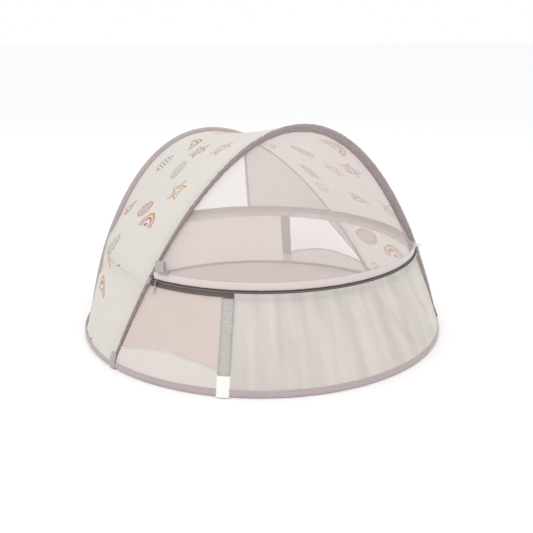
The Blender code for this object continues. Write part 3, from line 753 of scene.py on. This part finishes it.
def printed_cloth(name, ground):
    """Hand-drawn stars, rainbows and hatched pebbles, one to a cell of a loose grid."""
    made = fabric(name, ground, 0.75, 0.0016, 0.25, 0.03, 0.2, glow=0.42)
    tree = made.node_tree
    shader = tree.nodes["Principled BSDF"]

    def calc(operation, *values):
        return step(tree, "Math", dict(enumerate(values)), operation=operation)

    def times(first, second):
        return calc("MULTIPLY", first, second)

    def line(value, edge, width):
        return calc("COMPARE", value, edge, width)

    def vector(operation, *values, **named):
        return step(tree, "VectorMath", {**dict(enumerate(values)), **named}, operation=operation)

    cloth = shader.inputs["Base Color"].links[0].from_socket
    place = step(tree, "UVMap", uv_map="cloth")
    shaken = step(tree, "TexNoise", {"Vector": place, "Scale": 38.0, "Detail": 2.0})
    drawn = vector("ADD", place, vector("SCALE", shaken.outputs["Color"], Scale=SHAKE))
    spot = vector("MULTIPLY", drawn, (1 / PRINT_SPACING, 1 / (PRINT_SPACING * PRINT_STRETCH), 1))
    spot = vector("ADD", spot, PRINT_START)
    cells = step(tree, "TexVoronoi", {"Vector": spot, "Scale": 1.0, "Randomness": 0.5},
                 voronoi_dimensions="2D")
    local = vector("SUBTRACT", spot, cells.outputs["Position"])
    axes = step(tree, "SeparateXYZ", {0: local})
    kind, spin, tone = step(tree, "SeparateColor", {0: cells.outputs["Color"]}).outputs[:3]
    radius = vector("LENGTH", local).outputs["Value"]
    angle = calc("ADD", calc("ARCTAN2", axes.outputs[1], axes), times(spin, 2 * pi))
    # a five-pointed star's edge, as a distance for each direction
    point = pi / 5
    inner = 0.46 * PRINT_RADIUS
    fold = calc("PINGPONG", angle, point)
    below = calc("ADD", times(calc("SINE", fold), inner),
                 times(calc("SINE", calc("SUBTRACT", point, fold)), PRINT_RADIUS))
    star_edge = calc("DIVIDE", inner * PRINT_RADIUS * sin(point), below)
    star = calc("MAXIMUM", line(radius, star_edge, STROKE),
                line(radius, times(star_edge, 0.52), STROKE * 0.6))
    upper = calc("GREATER_THAN", calc("COSINE", angle), -0.12)
    outer_bow = times(upper, line(radius, PRINT_RADIUS, STROKE * 1.3))
    inner_bow = times(upper, calc("MAXIMUM", line(radius, PRINT_RADIUS * 0.66, STROKE),
                                  calc("LESS_THAN", radius, PRINT_RADIUS * 0.26)))
    long_way = times(calc("COSINE", angle), radius)
    short_way = times(calc("SINE", angle), times(radius, 1.5))
    oval = calc("SQRT", calc("ADD", times(long_way, long_way), times(short_way, short_way)))
    hatch = times(calc("LESS_THAN", oval, PRINT_RADIUS),
                  calc("GREATER_THAN", calc("SINE", times(long_way, HATCHING)), 0.1))
    pebble = calc("MAXIMUM", hatch, line(oval, PRINT_RADIUS, STROKE * 0.7))
    is_star = calc("LESS_THAN", kind, 0.38)
    is_bow = calc("COMPARE", kind, 0.55, 0.17)
    is_pebble = calc("GREATER_THAN", kind, 0.72)
    first_tone = calc("LESS_THAN", tone, 0.62)
    second_tone = calc("SUBTRACT", 1.0, first_tone)
    for shape, chosen, inks in ((star, is_star, ("cb9444", "a65a59")),
                                (outer_bow, is_bow, ("cf9d50", "7fa09f")),
                                (inner_bow, is_bow, ("b36f69", "cf9c55")),
                                (pebble, is_pebble, ("b87d79", "a3bfae"))):
        for toned, ink in zip((first_tone, second_tone), inks):
            cover = times(times(shape, times(chosen, toned)), INK_COVER)
            cloth = step(tree, "Mix", {"Factor": cover, 6: cloth, 7: colour(ink)},
                         data_type="RGBA").outputs[2]
    tree.links.new(cloth, shader.inputs["Base Color"])
    tree.links.new(cloth, tree.nodes["light_through"].inputs["Color"])
    return made


def bulge_shape(along, crest):
    """Rises from 0 at either end to 1 at the crest."""
    reach = crest if along < crest else 1 - crest
    return 1 - ((along - crest) / reach) ** 2


def arch_edge(arch, turn, rearwards, outwards):
    outward, rearward = arch_frame(arch, turn)
    return arch_point(arch, turn) + rearward * rearwards + outward * outwards


def blended(piece):
    """Bakes a cloth's placement into its mesh; the cloth stays where it is and does not follow the front
    arch.
    """
    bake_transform(piece)


printed = printed_cloth("printed_polyester", "f2efea")
for side_name, side in SIDES:
    grid = []
    for height in ramp(WALL_BOTTOM - 0.004, SIDE_TOP, 50):
        share = (height - WALL_BOTTOM) / (SIDE_TOP - WALL_BOTTOM)
        bulge, crest_place = mix(SIDE_BULGE_LOW, SIDE_BULGE_HIGH, share), mix(0.5, SIDE_CREST, share)
        front = arch_edge("front", side * turn_at_height("front", height), *FRONT_EDGE)
        rear = arch_edge("rear", side * turn_at_height("rear", height), *REAR_EDGE)
        row = []
        for along in ramp(0, 1, 90):
            point = mix(front, rear, along)
            drape = wave(along * 9 + side, share * 1.6, 5.0) * sin(pi * along)
            hollow = SIDE_HOLLOW * sin(pi * min(max(share, 0), 1)) * sin(pi * along) ** 2
            point.x += side * (bulge * bulge_shape(along, crest_place) + SIDE_DRAPE * drape - hollow)
            row.append(point)
        grid.append(row)
    sheet("side_wall_cloth_" + side_name, grid, printed, ["side_wall_" + side_name])

grid, weights = [], []
for across in ramp(-1, 1, 200):
    row = []
    front = arch_edge("front", across * turn_at_height("front", SIDE_TOP), *FRONT_EDGE)
    rear = arch_edge("rear", across * turn_at_height("rear", SIDE_TOP), *REAR_EDGE)
    for along in ramp(0, 1, 60):
        point = mix(front, rear, along)
        push = SIDE_BULGE_HIGH * abs(across) ** 4 * bulge_shape(along, SIDE_CREST)
        pull = wave(across * 5, along * 2.2, 1.0) * CANOPY_DRAPE
        pull += wave(across * 26, along * 1.4, 4.0) * CANOPY_PUCKER * (1 - along) ** 2
        point.x += copysign(push, across)
        point.z -= CANOPY_SAG * (1 - across ** 2) * bulge_shape(along, 0.5)
        point += arch_frame("rear", across * 1.2)[0] * pull * bulge_shape(along, 0.5)
        off_arch = smooth(along / RIM_CLEAR_FROM)
        low, high = mix(BLEND_LOW, RIM_CLEAR_LOW, off_arch), mix(BLEND_HIGH, RIM_CLEAR_HIGH, off_arch)
        follow = max(1 - along / CANOPY_SEAM, 0) * smooth((point.z - low) / (high - low))
        weights.append(follow)
        row.append(point)
    grid.append(row)
canopy = sheet("canopy_cloth", grid, printed, ["canopy_front", "canopy_rear"],
               body=None)
blended(canopy)

# ---- rear panel ----
# Grey satin fills the rear arch down to the rim, around a mesh window with bound edges.
WINDOW_SHARE = 0.22
WINDOW_TOP = 0.80
grey_satin = fabric("grey_satin", "e4dcd9", 0.5, 0.0018, 0.22, 0.05, 0.3, patches=5.0, glow=0.45)
PANEL_FOOT = RIM_HEIGHT + 0.004
PANEL_STANDOFF = 0.0012  # outside the wall's line
PANEL_LAP = 0.0048  # inside the arch's wire
PANEL_RIPPLE = 0.004
WINDOW_BINDING = (0.0055, 0.0010, 0.0002, 0.006)  # half width, half depth, gather and its pitch


def rear_panel_point(across, up):
    turn = across * rear_foot
    outward = arch_frame("rear", turn)[0]
    arch_side = arch_point("rear", turn)
    if arch_side.z < PANEL_FOOT:
        angle = leg_angle("rear", arch_side.z) + LEG_EDGE / 2 / wall_radius(arch_side.z)
        inner = polar(angle, wall_radius(arch_side.z) + PANEL_STANDOFF, arch_side.z)
    else:
        low_turn = turn_at_height("rear", PANEL_FOOT)
        start = leg_angle("rear", PANEL_FOOT) + LEG_EDGE / 2 / wall_radius(PANEL_FOOT)
        angle = mix(pi / 2, start, abs(turn) / low_turn)
        inner = polar(angle, wall_radius(PANEL_FOOT) + PANEL_STANDOFF, PANEL_FOOT)
    inner.x *= copysign(1, across)
    point = mix(inner, arch_side - outward * PANEL_LAP, up)
    point.y += wave(across * 8, up * 1.5, 9.0) * PANEL_RIPPLE * sin(pi * up)
    return point


for piece_name, cloth, start, end, low, high, columns, slot in (
        ("rear_panel_left", grey_satin, -1, -WINDOW_SHARE, 0, 1, 90, "satin_cloth"),
        ("rear_panel_right", grey_satin, WINDOW_SHARE, 1, 0, 1, 90, "satin_cloth"),
        ("rear_panel_header", grey_satin, -WINDOW_SHARE, WINDOW_SHARE, WINDOW_TOP, 1, 40, "satin_cloth"),
        ("rear_window_mesh", clear_mesh, -WINDOW_SHARE, WINDOW_SHARE, 0, WINDOW_TOP, 40, "mesh_cloth")):
    grid = [[rear_panel_point(across, up) for up in ramp(low, high, 26)]
            for across in ramp(start, end, columns)]
    sheet(piece_name + "_cloth", grid, cloth, [piece_name])
window_edge = [rear_panel_point(-WINDOW_SHARE, up) for up in ramp(0, WINDOW_TOP, 20)]
window_edge += [rear_panel_point(across, WINDOW_TOP) for across in ramp(-WINDOW_SHARE, WINDOW_SHARE, 30)[1:]]
window_edge += [rear_panel_point(WINDOW_SHARE, up) for up in ramp(WINDOW_TOP, 0, 20)[1:]]
facing_back = Vector((0, 1, 0.2)).normalized()
stations = []
for index, point in enumerate(window_edge):
    run = window_edge[min(index + 1, len(window_edge) - 1)] - window_edge[max(index - 1, 0)]
    stations.append((point, facing_back, run.cross(facing_back).normalized()))
gathered_tube("window_binding", stations, *WINDOW_BINDING, grey_satin, "satin_cloth", [], sides=10)

# ---- mosquito net, hem and zip ----
# A fine net closes the front arch. Its light hem carries the upper half of a long coil zip, and
# the lower half is sewn to the rim, so the net opens all round the front.
ZIP_HEIGHT = 0.2615
HEM_TOP = 0.2865
NET_CORNER = 0.012
NET_BULGE = 0.012
NET_LAP = 0.0190  # from the wire in to the net's edge
NET_RIPPLE = 0.004
CORNER_PUSH = 0.034  # the net's right corner is pulled out round the strap
HEM_ROLL = (0.0108, 0.0036, 0.0007, 0.016)  # half width, half depth, gather and its pitch
HEM_FACE, HEM_MIDDLE = 0.2790, 0.2772
TAPE_WIDTH = 0.0120
TAPE_GAP = 0.0015  # from the middle of the zip to either tape
TAPE_OUT = 0.0032  # outside the wall's line
TAPE_TUCK = 0.0026  # the upper tape runs in under the hem
TAPE_THICKNESS = 0.0009
TEETH_INSET = 0.012
TOOTH = (0.0032, 0.0017, 0.0022)
TOOTH_STAGGER = 0.0007
PLATE_BEVEL = 0.0004
TOOTH_PITCH = 0.0026
veil = fabric("mosquito_net_knit", "e6dcda", 0.9, 0.0022, 0.3, 0.03, 0.1, alpha=0.40)
hem_satin = fabric("white_hem_satin", "d2c8c6", 0.5, 0.0018, 0.2, 0.03, 0.3)
# painted shade: the dark and light stripes of the ribs are shade painted into the tape's colour, over a bump
zip_tape = fabric("ribbed_zip_tape", "7a6c69", 0.8, 0.0085, 0.9, 0.45)
zip_coil = plain_material("zip_coil_nylon", "857a78", 0.5)
zip_alloy = plain_material("zip_alloy", "8f8b88", 0.35, 0.9)


def tape_face(height):
    return wall_radius(height) + TAPE_OUT


def net_point(across, up):
    turn = across * turn_at_height("front", HEM_TOP + NET_CORNER)
    on_arch = arch_point("front", turn) - strip_frame("front", turn)[0] * NET_LAP
    on_hem = polar(FRONT + across * face_half("front", HEM_TOP), wall_radius(HEM_TOP) - 0.0005, HEM_TOP)
    point = mix(on_hem, on_arch, up)
    corner = exp(-((across - 0.95) / 0.09) ** 2) * sin(pi * min(up * 3.2, 1)) * CORNER_PUSH
    fold = wave(across * 7, up * 1.2, 2.0) * NET_RIPPLE * sin(pi * up)
    point.y -= NET_BULGE * 4 * up * (1 - up) * (1 - across ** 4) + fold
    return point + polar(FRONT + across, corner, 0)


grid, weights = [], []
for across in ramp(-1, 1, 150):
    row = []
    for up in ramp(0, 1, 50):
        point = net_point(across, up)
        weights.append(up * smooth((point.z - BLEND_LOW) / (BLEND_HIGH - BLEND_LOW)))
        row.append(point)
    grid.append(row)
net = sheet("mosquito_net_cloth", grid, veil, ["mosquito_net"],
            body=None)
blended(net)

hem_stations = [(polar(FRONT + share * face_half("front", HEM_FACE), wall_radius(HEM_FACE), HEM_MIDDLE),
                 polar(FRONT + share, 1, 0), UP) for share in ramp(-1, 1, 200)]
gathered_tube("net_hem_roll", hem_stations, *HEM_ROLL, hem_satin, "satin_cloth", ["net_hem"], sides=20)
for tape_name, low, high, tuck in (
        ("zip_tape_lower", ZIP_HEIGHT - 0.0021 - TAPE_WIDTH, ZIP_HEIGHT - TAPE_GAP, 0.0),
        ("zip_tape_upper", ZIP_HEIGHT + TAPE_GAP, ZIP_HEIGHT + TAPE_GAP + TAPE_WIDTH, TAPE_TUCK)):
    grid = [[polar(FRONT + share * face_half("front", height), tape_face(height) - tuck, height)
             for height in ramp(low, high, 6)] for share in ramp(-1, 1, 220)]
    sheet(tape_name + "_cloth", grid, zip_tape, [tape_name],
          thickness=TAPE_THICKNESS)

teeth_half = face_half("front", ZIP_HEIGHT) - TEETH_INSET
teeth_ring = tape_face(ZIP_HEIGHT)
tooth_count = int(2 * teeth_half * teeth_ring / TOOTH_PITCH)
teeth = []
for index in range(tooth_count):
    angle = FRONT - teeth_half + 2 * teeth_half * (index + 0.5) / tooth_count
    height = ZIP_HEIGHT + (TOOTH_STAGGER if index % 2 else -TOOTH_STAGGER)
    teeth.append((polar(angle, teeth_ring + 0.0004, height), UP, polar(angle, 1, 0)))
repeated("zip_coil_teeth", teeth, TOOTH, "block", zip_coil, "tent", ["zip_teeth"])


def plate(name, outline, axes, origin, thickness, material, body, nodes):
    """A flat piece with rounded edges, from an outline in metres drawn in the first two axes."""
    sideways, upwards, out = axes
    count = len(outline)
    verts = [origin + sideways * x + upwards * y + out * thickness * z
             for z in (-0.5, 0.5) for x, y in outline]
    faces = [tuple(reversed(range(count))), tuple(range(count, 2 * count))]
    faces += [(i, (i + 1) % count, count + (i + 1) % count, count + i) for i in range(count)]
    mesh = bpy.data.meshes.new(name)
    mesh.from_pydata([tuple(v) for v in verts], [], faces)
    mesh.update()
    if sideways.cross(upwards).dot(out) < 0:
        mesh.flip_normals()
    mesh.materials.append(material)
    made = new_object(name, mesh)
    rounding = made.modifiers.new("rounded_edges", "BEVEL")
    rounding.width = PLATE_BEVEL
    rounding.segments = 2
    return declare(made, body, nodes)


def rounded(width, height, lift=0.0, corner=0.35):
    """A rounded rectangle's outline about (0, lift)."""
    radius = corner * width
    points = []
    for quarter, (x, y) in enumerate(((1, 1), (-1, 1), (-1, -1), (1, -1))):
        for t in ramp(quarter * pi / 2, (quarter + 1) * pi / 2, 5):
            points.append((x * (width / 2 - radius) + radius * cos(t),
                           lift + y * (height / 2 - radius) + radius * sin(t)))
    return points


for stop_name, side in (("zip_stop_left", -1), ("zip_stop_right", 1)):
    stop_angle = FRONT + side * (teeth_half + 0.005)
    stop_axes = (polar(stop_angle + pi / 2, 1, 0), UP, polar(stop_angle, 1, 0))
    plate(stop_name + "_clip", rounded(0.004, 0.0050), stop_axes, polar(stop_angle, teeth_ring, ZIP_HEIGHT),
          0.0030, zip_alloy, "tent", [stop_name])

# the slider's face and bridge, and the puller's plate with its woven tab
slider_low, slider_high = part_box("zip_slider")
slider_middle = (slider_low + slider_high) / 2
slider_angle = atan2(slider_middle.y, slider_middle.x)
slider_out, slider_along = polar(slider_angle, 1, 0), polar(slider_angle + pi / 2, 1, 0)
shield = [(-0.0070, -0.0030), (-0.0040, -0.0048), (0.0035, -0.0048), (0.0070, -0.0028), (0.0070, 0.0028),
          (0.0035, 0.0048), (-0.0040, 0.0048), (-0.0070, 0.0030)]
shield_axes = (slider_along, UP, slider_out)
puller_low, puller_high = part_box("zip_puller")
puller_middle = (puller_low + puller_high) / 2
lean = atan2(BASE_RADIUS - wall_radius(RIM_HEIGHT), RIM_HEIGHT - BASE_HEIGHT)
puller_down = slider_out * sin(lean) - UP * cos(lean)
puller_axes = (slider_along, puller_down, slider_along.cross(puller_down).normalized())
for name, outline, axes, place, thickness, material, body, nodes in (
        ("zip_slider_face", shield, shield_axes, slider_middle - slider_out * 0.0004, 0.0016, zip_alloy,
         "zip_slider", ["zip_slider"]),
        ("zip_slider_bridge", rounded(0.0040, 0.0026), shield_axes, slider_middle + slider_out * 0.0008,
         0.0014, zip_alloy, "zip_slider", []),
        ("zip_puller_plate", rounded(0.0072, 0.0160, -0.0085), puller_axes, puller_middle, 0.0014, zip_alloy,
         "zip_puller", ["zip_puller"]),
        ("zip_puller_tab", rounded(0.0060, 0.0220, 0.0055, 0.2), puller_axes, puller_middle, 0.0022,
         mauve_tape, "zip_puller", [])):
    plate(name, outline, axes, place, thickness, material, body, nodes)

# ---- straps and foot tabs ----
# Folded grey tape: a strap ties the front arch to the rim on either side, a folded flap stands at
# the left end of the net's hem, and short tabs hold the arches' four feet to the base ring.
TAB_HALF_WIDTH = 0.0125
TAB_TOP = 0.046
TAB_OUT = 0.0062
TAB_CROWN = 0.25  # the tab's sides lie this share closer to the wall than its middle
STRAP_HEIGHT = 0.2615
STRAP_HALF_WIDTH = 0.011
STRAP_HALF_DEPTH = 0.0068
STRAP_HALF_HEIGHT = 0.0152
STRAP_THICKNESS = 0.0010
FLAP_HEIGHT = 0.288
FLAP_START = 0.026  # from the arch's wire, along the rim
FLAP_WIDTH = 0.030
FLAP_RISE = 0.042
FLAP_OPENING = 0.008  # between the fold's two ends
FLAP_OUT = 0.014
FLAP_SWAY, SWAY_TURN = 0.004, 1.57
FLAP_SLOPE = 0.14  # its left side is this share lower than its right
grey_tape = fabric("grey_strap_tape", "b5acaa", 0.7, 0.0016, 0.4, 0.08)
for side_name, side in SIDES:
    turn = side * turn_at_height("front", STRAP_HEIGHT)
    outer, through = strip_frame("front", turn)
    axis = outer.cross(through).normalized()
    grid = []
    for station in ramp(-STRAP_HALF_WIDTH, STRAP_HALF_WIDTH, 8):
        centre = arch_point("front", turn) + outer * ARCH_SLEEVE["front"][2] + axis * station
        row = [centre + through * STRAP_HALF_DEPTH * sin(t) + outer * STRAP_HALF_HEIGHT * cos(t)
               for t in ramp(-pi * 0.35, pi * 1.5, 30)]
        grid.append(row)
    sheet("tie_strap_tape_" + side_name, grid, grey_tape, ["tie_strap_" + side_name],
          thickness=STRAP_THICKNESS)

flap_foot = arch_point("front", -turn_at_height("front", FLAP_HEIGHT))
flap_angle = atan2(flap_foot.y, flap_foot.x)
away = polar(flap_angle, FLAP_OPENING, 0)
grid = []
for share in ramp(0, 1, 12):
    foot = polar(flap_angle + (FLAP_START + FLAP_WIDTH * share) / RIM_RADIUS, RIM_RADIUS + FLAP_OUT,
                 FLAP_HEIGHT)
    grid.append([foot + UP * FLAP_RISE * sin(t) * (1 - FLAP_SLOPE + FLAP_SLOPE * share)
                 + away * (t / pi)
                 + polar(flap_angle + SWAY_TURN, FLAP_SWAY * sin(2 * t), 0)
                 for t in ramp(0, pi * 0.94, 24)])
sheet("tie_loop_tape_left", grid, grey_tape, [],
      thickness=STRAP_THICKNESS)

for arch, arch_side in FOOT_SIDE.items():
    for side_name, side in SIDES:
        foot = leg_angle(arch, LEG_START)
        angle = arch_side * foot if side > 0 else pi - arch_side * foot
        grid = []
        for share in ramp(-1, 1, 12):
            row = []
            for height in ramp(0.001, TAB_TOP, 14):
                radius = wall_radius(max(height, WALL_BOTTOM)) + TAB_OUT * (1 - TAB_CROWN * share ** 2)
                row.append(polar(angle + share * TAB_HALF_WIDTH / BASE_RADIUS, radius, height))
            grid.append(row)
        tab = "foot_tab_%s_%s" % (arch, side_name)
        sheet(tab + "_tape", grid, grey_tape, [tab],
              thickness=STRAP_THICKNESS)
